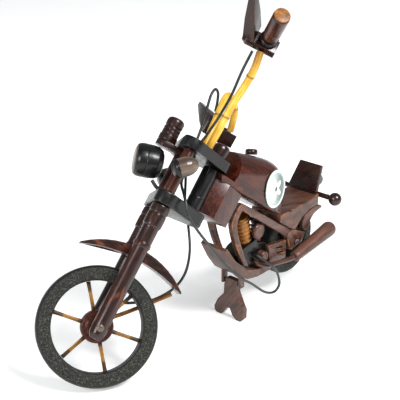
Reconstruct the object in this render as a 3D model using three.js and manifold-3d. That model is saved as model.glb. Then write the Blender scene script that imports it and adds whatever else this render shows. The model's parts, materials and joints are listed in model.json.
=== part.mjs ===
// Wooden chopper motorcycle model with a steered fork, turning wheels and a folding centre stand.
// Millimetres. +X is forward, +Y is the rider's left, +Z is up. The floor is Z = 0.
import * as THREE from 'three';
import Module from 'manifold-3d';
import { mergeVertices } from 'three/addons/utils/BufferGeometryUtils.js';

const wasm = await Module();
wasm.setup();

// ---------------------------------------------------------------- driving dimensions
const gap = 0.3;                       // clearance between pieces that touch
const running_gap = 0.6;               // clearance between pieces that move past each other

const front_wheel_radius = 33;
const front_tyre_width = 11.5;
const front_rim_radius = 24.9;         // inner radius of the front tyre
const front_hub_radius = 8.8;
const rear_wheel_radius = 22.7;
const rear_tyre_width = 12;
const rear_rim_radius = 15.5;
const rear_hub_radius = 6;
const tread_shoulder = 3;              // radius of the tyres' outer edges
const hub_width = 9;
const spoke_radius = 1.1;
const spoke_count = 6;
const spoke_phase = -8;                // degrees, from forward towards up
const axle_radius = 2;
const axle_clearance = 0.3;            // round an axle, in the hub

const rear_axle_x = 8.7;
const rear_axle_height = 35.9;         // the centre stand holds the rear wheel off the floor
const steering_foot = 168.65;          // where the steering axis meets the floor
const rake = 41.6;                     // degrees between the steering axis and the vertical
const rest_steer = -43.4;              // degrees, the front end is turned to the right

const fork_spread = 16.4;              // centre plane to the centre line of a fork leg
const fork_offset = 17.3;              // steering axis to the axle
const leg_radius = 4.4;
const leg_drop = 6.5;                  // fork leg below the axle
const leg_top = 102.8;                 // along the steering axis
const tube_radius = 3.2;
const lower_clamp_bottom = 103.1;
const lower_clamp_thickness = 7.4;
const upper_clamp_bottom = 137;
const upper_clamp_thickness = 6;
const clamp_margin = 6;                // clamp beyond the fork leg's centre line
const stem_radius = 2.6;
const head_tube_radius = 4.6;

const frame_half_width = 10;
const board_thickness = 3.3;
const stand_x = 59.3;
const stand_thickness = 3.5;
const stand_pivot_height = 24.2;
const stand_pin_radius = 1.1;

const tank_half_width = 14.6;
const seat_half_width = 11.5;
const muffler_y = frame_half_width + 5.4;
const muffler_length = 40.5;
const signal_arm = 9.6;                // fork leg's centre line to the middle of a front signal
const cable_radius = 0.8;

// ---------------------------------------------------------------- finishes
const finish = (color, roughness, metalness = 0) => ({ color, roughness, metalness });
const dark_wood = finish(0x3d1b12, 0.32);
const red_wood = finish(0x5a2517, 0.34);
const brown_wood = finish(0x6b4631, 0.38);
const black_lacquer = finish(0x121311, 0.3);
const rattan = finish(0xe0ab3a, 0.5);
const honey_wood = finish(0xa9742b, 0.5);
const tyre_fibre = finish(0x232421, 0.85);
const black_cable = finish(0x101514, 0.4);
const pin_metal = finish(0x5b5f57, 0.4, 0.6);
const emblem_print = finish(0xc9d0cb, 0.3);

// ---------------------------------------------------------------- shape helpers
const rad = THREE.MathUtils.degToRad;
const v2 = (x, y) => new THREE.Vector2(x, y);
const v3 = (x, y, z) => new THREE.Vector3(x, y, z);

function closed(geometry) {
  // Shared vertices merged and faces turned outwards.
  const bare = geometry.index ? geometry.toNonIndexed() : geometry.clone();
  bare.deleteAttribute('normal');
  bare.deleteAttribute('uv');
  const solid = mergeVertices(bare, 1e-4);
  const p = solid.attributes.position;
  const index = Array.from(solid.index.array);
  const kept = [];
  let volume = 0;
  const [a, b, c] = [v3(0, 0, 0), v3(0, 0, 0), v3(0, 0, 0)];
  for (let i = 0; i < index.length; i += 3) {
    const [i0, i1, i2] = index.slice(i, i + 3);
    if (i0 === i1 || i1 === i2 || i0 === i2) continue;
    a.fromBufferAttribute(p, i0);
    b.fromBufferAttribute(p, i1);
    c.fromBufferAttribute(p, i2);
    volume += a.dot(b.cross(c));
    kept.push(i0, i1, i2);
  }
  if (volume < 0) {
    for (let i = 0; i < kept.length; i += 3) [kept[i], kept[i + 1]] = [kept[i + 1], kept[i]];
  }
  solid.setIndex(kept);
  return solid;
}

function toManifold(geometry) {
  const solid = closed(geometry);
  return new wasm.Manifold(new wasm.Mesh({
    numProp: 3,
    vertProperties: new Float32Array(solid.attributes.position.array),
    triVerts: new Uint32Array(solid.index.array),
  }));
}

function fromManifold(body) {
  const mesh = body.getMesh();
  const geometry = new THREE.BufferGeometry();
  geometry.setAttribute('position', new THREE.BufferAttribute(new Float32Array(mesh.vertProperties), 3));
  geometry.setIndex(new THREE.BufferAttribute(new Uint32Array(mesh.triVerts), 1));
  return geometry;
}

const cut = (body, ...tools) => fromManifold(
  tools.reduce((rest, tool) => rest.subtract(toManifold(tool)), toManifold(body)));
const join = (body, ...others) => fromManifold(
  others.reduce((sum, other) => sum.add(toManifold(other)), toManifold(body)));
const common = (body, other) => fromManifold(toManifold(body).intersect(toManifold(other)));

function turned(profile, sides = 16) {
  // Profile points are [radius, height]; the axis is Z.
  const points = profile.map(([r, h]) => v2(r, h));
  return closed(new THREE.LatheGeometry(points, sides).rotateX(Math.PI / 2));
}

const rod = (radius, low, high, sides = 14) => turned([[0, low], [radius, low], [radius, high],
  [0, high]], sides);

function roundedProfile(radius, low, high, bottom, top, steps = 3) {
  // A cylinder outline with its lower and upper edges rounded.
  const points = [[0, low]];
  for (let i = 0; i <= steps; i++) {
    const angle = (i / steps) * Math.PI / 2;
    points.push([radius - bottom + bottom * Math.sin(angle), low + bottom - bottom * Math.cos(angle)]);
  }
  for (let i = 0; i <= steps; i++) {
    const angle = (i / steps) * Math.PI / 2;
    points.push([radius - top + top * Math.cos(angle), high - top + top * Math.sin(angle)]);
  }
  points.push([0, high]);
  return points;
}

function sidePlate(shape, thickness, centre_y = 0, curveSegments = 10) {
  // A shape drawn in X and Z, as thick as given along Y.
  const body = new THREE.ExtrudeGeometry(shape, { depth: thickness, bevelEnabled: false, curveSegments });
  return closed(body.rotateX(Math.PI / 2).translate(0, centre_y + thickness / 2, 0));
}

function frontPlate(shape, thickness, centre_x = 0, curveSegments = 10) {
  // A shape drawn in Y and Z, as thick as given along X.
  const body = new THREE.ExtrudeGeometry(shape, { depth: thickness, bevelEnabled: false, curveSegments });
  const turn = new THREE.Matrix4().set(0, 0, 1, centre_x - thickness / 2, 1, 0, 0, 0, 0, 1, 0, 0, 0, 0, 0,
    1);
  return closed(body.applyMatrix4(turn));
}

function flatPlate(shape, thickness, low_z = 0, curveSegments = 10) {
  // A shape drawn in X and Y, as thick as given along Z.
  const body = new THREE.ExtrudeGeometry(shape, { depth: thickness, bevelEnabled: false, curveSegments });
  return closed(body.translate(0, 0, low_z));
}

const outline = (points) => new THREE.Shape(points.map(([x, y]) => v2(x, y)));

function smoothOutline(points, divisions) {
  const curve = new THREE.CatmullRomCurve3(points.map(([x, y]) => v3(x, y, 0)), true, 'centripetal');
  return new THREE.Shape(curve.getPoints(divisions).slice(0, -1).map((p) => v2(p.x, p.y)));
}

function tube(points, radius, steps, sides = 8) {
  const path = new THREE.CatmullRomCurve3(points.map(([x, y, z]) => v3(x, y, z)), false, 'centripetal');
  const section = new THREE.Shape();
  for (let i = 0; i < sides; i++) {
    const angle = (i / sides) * 2 * Math.PI;
    const [x, y] = [radius * Math.cos(angle), radius * Math.sin(angle)];
    if (i === 0) section.moveTo(x, y);
    else section.lineTo(x, y);
  }
  return closed(new THREE.ExtrudeGeometry(section, { extrudePath: path, steps, bevelEnabled: false }));
}

const box = (x0, x1, y0, y1, z0, z1) => closed(
  new THREE.BoxGeometry(x1 - x0, y1 - y0, z1 - z0)
    .translate((x0 + x1) / 2, (y0 + y1) / 2, (z0 + z1) / 2));

function loft(sections) {
  // Closed skin through rings with the same number of points, flat at both ends.
  const count = sections[0].length;
  const positions = sections.flat().flatMap((p) => [p.x, p.y, p.z]);
  const index = [];
  for (let s = 0; s + 1 < sections.length; s++) {
    for (let i = 0; i < count; i++) {
      const [a, b] = [s * count + i, s * count + (i + 1) % count];
      index.push(a, b, a + count, b, b + count, a + count);
    }
  }
  for (let i = 1; i + 1 < count; i++) {
    const last = (sections.length - 1) * count;
    index.push(0, i + 1, i, last, last + i, last + i + 1);
  }
  const skin = new THREE.BufferGeometry();
  skin.setAttribute('position', new THREE.Float32BufferAttribute(positions, 3));
  skin.setIndex(index);
  return closed(skin);
}

const along = (geometry, from, to) => {
  // Moves a piece drawn along +Z from the origin so that it runs from one point towards another.
  const direction = to.clone().sub(from).normalize();
  const turn = new THREE.Quaternion().setFromUnitVectors(v3(0, 0, 1), direction);
  return geometry.applyQuaternion(turn).translate(from.x, from.y, from.z);
};

function piece(parent, name, geometry, look) {
  const mesh = new THREE.Mesh(geometry, new THREE.MeshStandardMaterial(look));
  mesh.name = name;
  parent.add(mesh);
  return mesh;
}

// ---------------------------------------------------------------- wheels, turning about Y
function tyre(radius, rim_radius, width) {
  const half = width / 2;
  const shoulder = tread_shoulder;
  const profile = [[rim_radius, -half], [radius - shoulder, -half]];
  for (let i = 1; i < 3; i++) {
    const angle = (i / 3) * Math.PI / 2;
    profile.push([radius - shoulder + shoulder * Math.sin(angle),
      -half + shoulder - shoulder * Math.cos(angle)]);
  }
  profile.push([radius, -half + shoulder], [radius, half - shoulder]);
  for (let i = 1; i < 3; i++) {
    const angle = (i / 3) * Math.PI / 2;
    profile.push([radius - shoulder + shoulder * Math.cos(angle),
      half - shoulder + shoulder * Math.sin(angle)]);
  }
  profile.push([radius - shoulder, half], [rim_radius, half], [rim_radius, -half]);
  return turned(profile, 40).rotateX(-Math.PI / 2);
}

function spokedHub(hub_radius, rim_radius, bore) {
  const hub = turned([[bore, -hub_width / 2], [hub_radius, -hub_width / 2], [hub_radius, hub_width / 2],
    [bore, hub_width / 2], [bore, -hub_width / 2]], 20);
  const spokes = [];
  for (let i = 0; i < spoke_count; i++) {
    const spoke = rod(spoke_radius, hub_radius - 1.5, rim_radius - gap, 6).rotateY(Math.PI / 2);
    spokes.push(spoke.rotateZ(rad(spoke_phase + (i * 360) / spoke_count)));
  }
  return join(hub, ...spokes).rotateX(Math.PI / 2);
}

function wheel(parent, prefix, radius, rim_radius, hub_radius, width) {
  piece(parent, `${prefix}_tyre`, tyre(radius, rim_radius, width), tyre_fibre);
  piece(parent, `${prefix}_hub_and_spokes`, spokedHub(hub_radius, rim_radius,
    axle_radius + axle_clearance), honey_wood);
}

// ---------------------------------------------------------------- groups
const bike = new THREE.Group();
const steering = new THREE.Group();
const front_wheel = new THREE.Group();
const rear_wheel = new THREE.Group();
bike.add(steering, rear_wheel);
steering.add(front_wheel);

// In the steering group X is forward, Y is left and Z runs up the steering axis.
steering.rotation.set(0, rad(-rake), 0);
const steer_turn = new THREE.Quaternion().setFromAxisAngle(v3(0, 0, 1), rad(rest_steer));
steering.quaternion.multiply(steer_turn);
steering.position.set(steering_foot, 0, 0);

// The front axle sits where the leaning tyre just reaches the floor.
const axle_lean = Math.abs(v3(0, 1, 0).applyQuaternion(steering.quaternion).z);
const forward_rise = v3(1, 0, 0).applyQuaternion(steering.quaternion).z;
const tread_lean = Math.sqrt(1 - axle_lean ** 2);
const axle_floor_height = (front_wheel_radius - tread_shoulder) * tread_lean
  + (front_tyre_width / 2 - tread_shoulder) * axle_lean + tread_shoulder;
const axle_along = (axle_floor_height - fork_offset * forward_rise) / Math.cos(rad(rake));
front_wheel.position.set(fork_offset, 0, axle_along);
rear_wheel.position.set(rear_axle_x, 0, rear_axle_height);

wheel(front_wheel, 'front', front_wheel_radius, front_rim_radius, front_hub_radius, front_tyre_width);
wheel(rear_wheel, 'rear', rear_wheel_radius, rear_rim_radius, rear_hub_radius, rear_tyre_width);

// ---------------------------------------------------------------- frame
const board_y = frame_half_width - board_thickness / 2;
const board_inner = frame_half_width - board_thickness;
const sides = [['left', 1], ['right', -1]];

function frameBoard(side) {
  const shape = new THREE.Shape();
  shape.moveTo(18.4, 42.3);
  shape.lineTo(14.7, 46.2);
  shape.lineTo(61.9, 78.7);
  shape.quadraticCurveTo(69, 76, 71.5, 67.8);
  shape.quadraticCurveTo(69.5, 55, 59.4, 37.6);
  shape.lineTo(55.2, 35.6);
  shape.quadraticCurveTo(65, 55, 66.6, 66.2);
  shape.quadraticCurveTo(65.5, 72, 61.8, 74);
  shape.lineTo(18.4, 42.3);
  return sidePlate(shape, board_thickness, side * board_y, 8);
}

function rearPlate(side) {
  const plate = sidePlate(outline([[14.1, 46.2], [-0.4, 39.4], [2.5, 33.6], [14.8, 32.1], [18, 42]]),
    board_thickness, side * board_y);
  const bore = rod(axle_radius + gap, -frame_half_width - 2, frame_half_width + 2)
    .rotateX(Math.PI / 2).translate(rear_axle_x, 0, rear_axle_height);
  return cut(plate, bore);
}

function rearStay(side) {
  const shape = smoothOutline([[-1.4, 40], [2.2, 43.6], [0.2, 49.6], [-6, 52.4], [-13.8, 53.6],
    [-18.5, 51], [-10.6, 48.8], [-6.6, 45.6], [-4.6, 41]], 40);
  return sidePlate(shape, board_thickness - 0.6, side * board_y);
}

for (const [name, side] of sides) {
  piece(bike, `frame_board_${name}`, frameBoard(side), brown_wood);
  piece(bike, `rear_plate_${name}`, rearPlate(side), brown_wood);
  piece(bike, `rear_stay_${name}`, rearStay(side), red_wood);
}

const cradle_outer = [[33, 25.6], [46, 25.4], [56, 27.3], [64, 33.2], [70.6, 42], [76.6, 52.9]];
const cradle_inner = [[74.7, 54], [67.6, 44], [56.4, 33.6], [46.5, 30.4], [33, 29.2]];

// Head block and head tube stand behind and round the steering axis.
const head = new THREE.Group();
head.position.copy(steering.position);
head.rotation.set(0, rad(-rake), 0);
bike.add(head);
const head_low = 112;
const head_high = 133;
const head_tube_low = lower_clamp_bottom + lower_clamp_thickness + running_gap;
const head_tube_high = upper_clamp_bottom - running_gap;
const headEnvelope = (grow) => flatPlate(outline([[-3.2 + grow, -3.6 - grow], [-3.2 + grow, 3.6 + grow],
  [-9, 10 + grow], [-23 - grow, 10 + grow], [-23 - grow, -10 - grow], [-9, -10 - grow]]),
head_high - head_low + 2 * grow, head_low - grow);
piece(head, 'head_block', cut(headEnvelope(0), rod(head_tube_radius + gap, head_low - 5, head_high + 5)),
  red_wood);
piece(head, 'head_tube', turned([[stem_radius + gap, head_tube_low], [head_tube_radius, head_tube_low],
  [head_tube_radius, head_tube_high], [stem_radius + gap, head_tube_high],
    [stem_radius + gap, head_tube_low]]),
black_lacquer);

// ---------------------------------------------------------------- tank
function tankSection(x, low, high, half_width, wall) {
  // A flat bottom with rounded corners, straight sides and a domed top.
  const ring = [];
  const dome_low = low + (high - low) * wall;
  const corner = 1.6;
  ring.push(v3(x, -half_width + corner, low), v3(x, half_width - corner, low),
    v3(x, half_width, low + corner));
  const steps = 12;
  for (let i = 0; i <= steps; i++) {
    const angle = (i / steps) * Math.PI;
    ring.push(v3(x, half_width * Math.cos(angle), dome_low + (high - dome_low) * Math.sin(angle)));
  }
  ring.push(v3(x, -half_width, low + corner));
  return ring;
}
const w = tank_half_width;
const tank_sections = [
  [27.8, 68, 87, 0.78 * w, 0.6],
  [29.2, 64.6, 91.5, 0.93 * w, 0.68],
  [32, 62.6, 95.6, w, 0.72],
  [38, 66.7, 98.4, w, 0.72],
  [48, 73.8, 102.6, 0.97 * w, 0.6],
  [58, 81, 106.6, 0.89 * w, 0.5],
  [66, 86.7, 108.6, 0.78 * w, 0.45],
  [73, 91.6, 108, 0.66 * w, 0.42],
  [77.5, 95.6, 104, 0.5 * w, 0.4],
].map((row) => tankSection(...row));

function inHeadFrame(geometry) {
  head.updateMatrix();
  return geometry.applyMatrix4(head.matrix);
}
const clamp_reach = 10.9;               // behind the steering axis, at the ends of the steering's travel
const tank_body = cut(loft(tank_sections), inHeadFrame(headEnvelope(gap)),
  inHeadFrame(box(-clamp_reach, 40, -30, 30, head_tube_high - 0.4, 175)),
  inHeadFrame(rod(head_tube_radius + gap, 100, head_tube_high)),
  ...sides.map(([, side]) => frameBoardEnvelope(side)));

function frameBoardEnvelope(side) {
  const shape = outline([[14.7, 46.2], [14.7, 46.2 + gap * 1.3], [61.9, 78.7 + gap * 1.3], [68, 77.6],
    [72.5, 68],
    [60, 60]]);
  return sidePlate(shape, board_thickness + 2 * gap, side * board_y);
}
piece(bike, 'fuel_tank', tank_body, red_wood);

const filler_cap = turned(roundedProfile(3.7, 0, 3.2, 0.2, 1.4));
piece(bike, 'tank_cap', along(filler_cap, v3(38.4, -3.6, 98.9), v3(37.9, -3.9, 100.9)), dark_wood);

const oval = new THREE.Shape();
oval.absellipse(0, 0, 8.8, 11.8, 0, 2 * Math.PI);
piece(bike, 'tank_emblem', sidePlate(oval, 0.8, 0, 10).translate(38.6, tank_half_width + gap + 0.4, 82),
  emblem_print);

// ---------------------------------------------------------------- seat, backrest and tail
const seat_shape = smoothSeat();
function smoothSeat() {
  const shape = new THREE.Shape();
  shape.moveTo(27.4, 59.8);
  shape.quadraticCurveTo(12, 60.6, 5, 60.8);
  shape.quadraticCurveTo(-5, 61, -11.6, 62.6);
  shape.lineTo(-11.6, 55.4);
  shape.lineTo(-2, 54.6);
  shape.lineTo(5, 51.6);
  shape.lineTo(11.6, 45.7);
  shape.lineTo(14.7, 46.2 + gap * 1.3);
  shape.lineTo(27.4, 54.95 + gap * 1.3);
  return shape;
}
const wheel_room = rod(rear_wheel_radius + running_gap, -board_inner, board_inner, 48)
  .rotateX(Math.PI / 2).translate(rear_axle_x, 0, rear_axle_height);
piece(bike, 'seat', cut(sidePlate(seat_shape, 2 * seat_half_width), wheel_room), brown_wood);

const rest_shape = new THREE.Shape();
rest_shape.moveTo(-10.8, 0);
rest_shape.lineTo(10.8, 0);
rest_shape.lineTo(8.2, 17);
rest_shape.lineTo(-8.2, 17);
const rest_lean = 29;
const backrest = frontPlate(rest_shape, 2.5).rotateY(rad(-rest_lean)).translate(-10.2, 0, 63.5);
const knob = turned(roundedProfile(4.2, 0, 6, 0.3, 2.2))
  .rotateY(rad(-90 - rest_lean)).translate(-15, 4.6, 70.2);
piece(bike, 'backrest', join(backrest, knob), dark_wood);

const bar_x = -13.8;
const bar_z = 60.9;
piece(bike, 'signal_bar', rod(1.6, -15.8, 15.8, 12).rotateX(Math.PI / 2).translate(bar_x, 0, bar_z),
  dark_wood);
const ball = turned([[0, 0], [1.8, 0], [1.3, 2], [2.4, 2.6], [3.5, 3.6], [4.1, 5.2], [4.2, 6.4], [3.7, 8],
  [2.6, 9.4],
  [1.2, 10.1], [0, 10.3]]);
for (const [name, side] of sides) {
  const signal = ball.clone().rotateX(-side * Math.PI / 2).translate(bar_x, side * (15.8 + gap), bar_z);
  piece(bike, `rear_signal_${name}`, signal, red_wood);
}
const lamp = turned(roundedProfile(3.2, 0, 7, 0.3, 1.8)).rotateY(rad(-98)).translate(-16.6, 0, 51.4);
const lamp_bar = box(-17.4, -14.6, -board_inner, board_inner, 50.4, 53.2);
piece(bike, 'tail_lamp', join(lamp, lamp_bar), brown_wood);

// ---------------------------------------------------------------- engine
const case_half = board_inner - 2 * gap;
piece(bike, 'engine_case', sidePlate(outline([[56, 45.6], [43.4, 49.1], [42.8, 46.1], [34.5, 43.3],
  [35.4, 36], [39.6, 31],
  [53, 33.4], [60.5, 42.6]]), 2 * case_half), black_lacquer);

function finnedCylinder(low_radius, high_radius, length, fins) {
  const profile = [[0, 0], [low_radius, 0]];
  const pitch = length / fins;
  for (let i = 0; i < fins; i++) {
    const radius = low_radius + ((high_radius - low_radius) * i) / (fins - 1);
    const low = i * pitch;
    profile.push([radius, low + 0.5 * pitch], [radius - 0.9, low + 0.6 * pitch],
      [radius - 0.9, low + 0.9 * pitch]);
    if (i + 1 < fins) profile.push([radius, low + pitch]);
  }
  profile.push([0, length - 0.1 * pitch]);
  return turned(profile);
}
piece(bike, 'cylinder_front', along(finnedCylinder(5, case_half, 18, 6), v3(48.7, 0, 48.1),
  v3(53.5, 0, 65.3)),
  honey_wood);
piece(bike, 'cylinder_rear', along(finnedCylinder(4.3, 4.7, 12, 5), v3(38.4, 0, 44.9), v3(34.6, 0, 56)),
  red_wood);

const across = (geometry, x, y, z, side = 1) => geometry.rotateX(-side * Math.PI / 2).translate(x,
  side * y, z);
piece(bike, 'air_cleaner', across(turned(roundedProfile(5, 0, 2.4, 0.3, 0.8), 20), 43.9, case_half + gap,
  54.2), brown_wood);
piece(bike, 'crank_cover', across(turned(roundedProfile(3.3, 0, 4.8, 0.2, 0.8)), 40.8, case_half + gap,
  37.4),
  brown_wood);

const cover_slots = [[20.6, 33.2], [21.2, 36.6]].map(([x, z]) => box(0, 7.4, -0.5, 20, -0.55, 0.55)
  .rotateY(rad(-14)).translate(x, 0, z));
piece(bike, 'gearbox_cover', cut(sidePlate(outline([[36.6, 42.6], [19, 40.4], [19, 28.4], [34.6, 30]]),
  board_thickness - 0.2, board_y), ...cover_slots), brown_wood);

// ---------------------------------------------------------------- exhausts
const muffler_front = v3(17.4, muffler_y, 30);
const muffler_rear = v3(-20, muffler_y, 37.2);
const muffler_profile = [[0, 0], [2.7, 0], [3.3, 0.7]];
muffler_profile.push([3.4, 2], [4.3, 0.5 * muffler_length], [4.9, muffler_length - 4.4]);
const muffler_end_steps = 4;
for (let i = 1; i <= muffler_end_steps; i++) {
  const angle = (i / muffler_end_steps) * Math.PI / 2;
  const radius = i === muffler_end_steps ? 0 : 4.9 * Math.cos(angle);
  muffler_profile.push([radius, muffler_length - 4.4 + 4.4 * Math.sin(angle)]);
}
const pipe_points = [[46, case_half + gap, 35], [46, case_half + 1.5, 34.9], [45, muffler_y - 6, 33.4],
  [41, muffler_y - 3.4, 31.8], [32, muffler_y - 1.8, 31], [24, muffler_y - 0.4, 30.2], [18, muffler_y, 30]];
for (const [name, side] of sides) {
  const mirror = side > 0 ? (g) => g : (g) => closed(g.scale(1, -1, 1));
  piece(bike, `muffler_${name}`, mirror(along(turned(muffler_profile, 20), muffler_front, muffler_rear)),
    brown_wood);
  piece(bike, `exhaust_pipe_${name}`, mirror(tube(pipe_points, 1.4, 18, 8)), brown_wood);
}

// ---------------------------------------------------------------- axles and stand
const axlePin = (radius, half_length) => turned([[0, -half_length], [radius - 0.4, -half_length],
  [radius, -half_length + 0.4], [radius, half_length - 0.4], [radius - 0.4, half_length], [0, half_length]])
  .rotateX(Math.PI / 2);
piece(bike, 'rear_axle', axlePin(axle_radius, frame_half_width + 1).translate(rear_axle_x, 0,
  rear_axle_height), pin_metal);

const stand = new THREE.Group();
stand.position.set(stand_x, 0, stand_pivot_height);
bike.add(stand);
const standOutline = [[-2.6, 2.4], [-4.2, -2], [-4.6, -9], [-9.4, -14.6], [-12, -20], [-11.8, -22.8],
  [-10, -24.2], [-6.6, -24.2], [-4.8, -22.4], [-2.4, -18.2], [0.2, -17.8], [2.4, -22], [5.2, -24.2],
    [8.6, -24.2], [10.8, -21.8],
  [11, -16], [8, -10.4], [5.6, -5.4], [5.4, -1.6], [6.4, 2.4]];
const standBore = rod(stand_pin_radius + gap, -20, 20, 16).rotateX(Math.PI / 2);
const standShape = new THREE.Shape();
standOutline.forEach(([y, z], i) => (i ? standShape.lineTo(y, z) : standShape.moveTo(y, z)));
piece(stand, 'centre_stand', cut(frontPlate(standShape, stand_thickness), standBore), brown_wood);
const stand_pin_half = 7.6;
const stand_pin_middle = 1;
piece(bike, 'stand_pin', axlePin(stand_pin_radius, stand_pin_half)
  .translate(stand_x, stand_pin_middle, stand_pivot_height), pin_metal);
// The cradle carries the stand's pin in two lugs under its front bend.
const lug_thickness = 1.6;
const lug_sides = [7.6, -5.6];
const cradle_board = sidePlate(outline([...cradle_outer, ...cradle_inner]), 2 * frame_half_width - 1);
const lugs = lug_sides.map((y) => sidePlate(outline([[-2, -1.8], [2, -1.8], [2, 8.4], [-2, 5.4]]),
  lug_thickness)
  .translate(stand_x, y, stand_pivot_height));
const lugBore = rod(stand_pin_radius + 0.1, -20, 20, 16).rotateX(Math.PI / 2).translate(stand_x, 0,
  stand_pivot_height);
piece(bike, 'cradle', cut(join(cradle_board, ...lugs), lugBore), dark_wood);

// ---------------------------------------------------------------- fork
const clamp_front = fork_offset + clamp_margin;
const clamp_half = fork_spread + clamp_margin;
function clampShape() {
  const shape = new THREE.Shape();
  const corner = 6;
  shape.moveTo(clamp_front, -clamp_half + corner);
  shape.lineTo(clamp_front, clamp_half - corner);
  shape.quadraticCurveTo(clamp_front, clamp_half, clamp_front - corner, clamp_half);
  shape.quadraticCurveTo(clamp_front - 1.6 * corner, clamp_half, clamp_front - 2.1 * corner,
    clamp_half - 3.4);
  shape.lineTo(-6, 6.6);
  shape.quadraticCurveTo(-8.6, 5, -8.6, 0);
  shape.quadraticCurveTo(-8.6, -5, -6, -6.6);
  shape.lineTo(clamp_front - 2.1 * corner, -clamp_half + 3.4);
  shape.quadraticCurveTo(clamp_front - 1.6 * corner, -clamp_half, clamp_front - corner, -clamp_half);
  shape.quadraticCurveTo(clamp_front, -clamp_half, clamp_front, -clamp_half + corner);
  return shape;
}
piece(steering, 'lower_clamp', flatPlate(clampShape(), lower_clamp_thickness, lower_clamp_bottom, 6),
  black_lacquer);
const clutch_hole = [12.4, 4];
const brake_hole = [13.9, -8];
const holes = [clutch_hole, brake_hole].map(([x, y]) => rod(cable_radius + 0.8, 120, 160, 10).translate(x,
  y, 0));
piece(steering, 'upper_clamp', cut(flatPlate(clampShape(), upper_clamp_thickness, upper_clamp_bottom, 6),
  ...holes),
  black_lacquer);

const leg_low = axle_along - leg_drop;
const legProfile = [[0, leg_low], [2.2, leg_low + 0.4], [3.8, leg_low + 1.8], [leg_radius, leg_low + 4],
  [leg_radius, 78.2], [leg_radius + 0.5, 78.6], [leg_radius + 0.5, 79.8], [leg_radius, 80.2],
    [leg_radius, 90.2],
  [leg_radius + 0.7, 90.8], [leg_radius + 0.7, leg_top - 0.8], [leg_radius, leg_top], [0, leg_top]];
const tube_low = lower_clamp_bottom + lower_clamp_thickness + gap;
const axleBore = rod(axle_radius + gap, -40, 40).rotateX(Math.PI / 2).translate(fork_offset, 0, axle_along);
for (const [name, side] of sides) {
  const leg = turned(legProfile).translate(fork_offset, side * fork_spread, 0);
  piece(steering, `fork_leg_${name}`, cut(leg, axleBore), red_wood);
  piece(steering, `fork_tube_${name}`,
    rod(tube_radius, tube_low, upper_clamp_bottom - gap).translate(fork_offset, side * fork_spread, 0),
      red_wood);
}
piece(steering, 'steering_stem', rod(stem_radius, tube_low, upper_clamp_bottom - gap), pin_metal);
const upper_clamp_top = upper_clamp_bottom + upper_clamp_thickness;
piece(steering, 'stem_nut', turned(roundedProfile(4.9, upper_clamp_top + gap, upper_clamp_top + 8.4, 0.4,
  1.8)),
  dark_wood);
piece(steering, 'front_axle', axlePin(axle_radius, fork_spread + leg_radius + 0.6).translate(fork_offset,
  0, axle_along),
  pin_metal);

// ---------------------------------------------------------------- front fender
const fender_radius = 48;
const fender_half_angle = 40;
const fender_thickness = 6;
const fender_x = 15.6;
const fender_room = 14.77;              // tyre tread to the top of the fender
const fender_top = axle_along + front_wheel_radius + fender_room;
const fender_width = 11.5;
function fenderEdge(top, half_angle, radius, steps) {
  // An arc of points from the tail to the front tip.
  const points = [];
  for (let i = 0; i <= steps; i++) {
    const angle = rad(half_angle * ((2 * i) / steps - 1));
    points.push([fender_x + radius * Math.sin(angle), top - radius * (1 - Math.cos(angle))]);
  }
  return points;
}
const inner_radius = fender_radius + 32;    // flatter, so the fender thins out to its tips
const inner_half_angle = THREE.MathUtils.radToDeg(
  Math.asin((fender_radius * Math.sin(rad(fender_half_angle))) / inner_radius));
const fender_points = [...fenderEdge(fender_top, fender_half_angle, fender_radius, 14),
  ...fenderEdge(fender_top - fender_thickness, inner_half_angle, inner_radius, 14).reverse()];
const crescent = sidePlate(outline(fender_points), fender_width);
const bridge_z = fender_top - fender_thickness + 1.4;
const bridge = box(fork_offset - 2.4, fork_offset + 2.4, -fork_spread + leg_radius + gap,
  fork_spread - leg_radius - gap,
  bridge_z, bridge_z + 3);
const leg_room = legProfile.map(([r, h]) => [r > 0 ? r + gap : 0, h]);
const leg_shapes = sides.map(([, side]) => turned(leg_room).translate(fork_offset, side * fork_spread, 0));
piece(steering, 'front_fender', cut(join(crescent, bridge), ...leg_shapes), black_lacquer);
const stay_radius = 1.1;
const stay_y = -(fork_spread - leg_radius - gap - stay_radius);
piece(steering, 'fender_stay', tube([[fork_offset - 0.8, stay_y, axle_along + 2.4],
  [fork_offset - 14, stay_y, axle_along + 16],
  [fork_offset - 30, -fender_width / 2 - 1.6, fender_top - 13.4]], stay_radius, 10, 8), honey_wood);

// ---------------------------------------------------------------- headlight and gauge
const headlight_x = 33.6;
const headlight_z = 123.4;
const headlight_tilt = -16;
const headlight_profile = [[0, -8.2], [5.2, -8.2], [7.4, -7.2], [8.9, -5], [9.4, -2], [9.5, 3.4],
  [9.3, 5.4], [8.2, 7.4],
  [6, 8.3], [0, 8.5]];
piece(steering, 'headlight', turned(headlight_profile, 24).rotateY(rad(90 - headlight_tilt))
  .translate(headlight_x, 0, headlight_z), black_lacquer);
piece(steering, 'headlight_stalk', tube([[27, 0, 115], [23.6, 0, 113], [20.4, 0, tube_low + 1]], 1, 6, 8),
  black_cable);

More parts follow.
